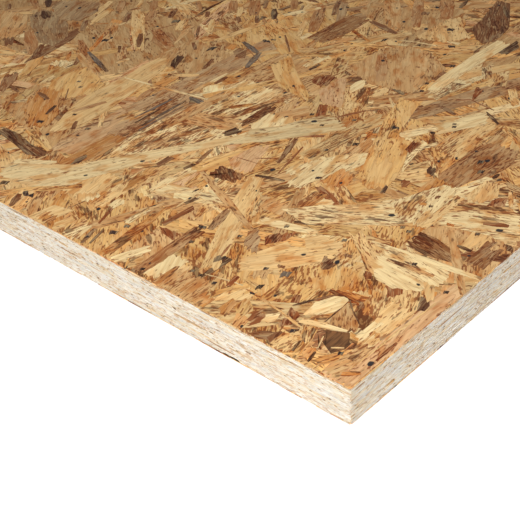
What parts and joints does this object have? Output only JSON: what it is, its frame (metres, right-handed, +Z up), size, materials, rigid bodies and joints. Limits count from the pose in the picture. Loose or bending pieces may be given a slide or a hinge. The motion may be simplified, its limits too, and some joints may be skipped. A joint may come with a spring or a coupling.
{
  "type": "oriented strand board panel",
  "caption": "Flat rectangular sheet of oriented strand board with square-sawn edges that show slits between the pressed strands, and shallow beds of missing strands in both faces.",
  "frame": {"origin": "middle of the lower face", "axes": "+X along the length, the way most face strands run, +Y across the width, +Z up through the thickness"},
  "size_m": [2.44, 1.22, 0.018],
  "materials": {
    "strand_board": "bare pressed wood strands in tan, straw and brown, satin where the resin and wax have been pressed smooth, paler and matt on the sawn edges"
  },
  "bodies": {
    "root": {"osb_panel": "strand_board"}
  },
  "joints": []
}
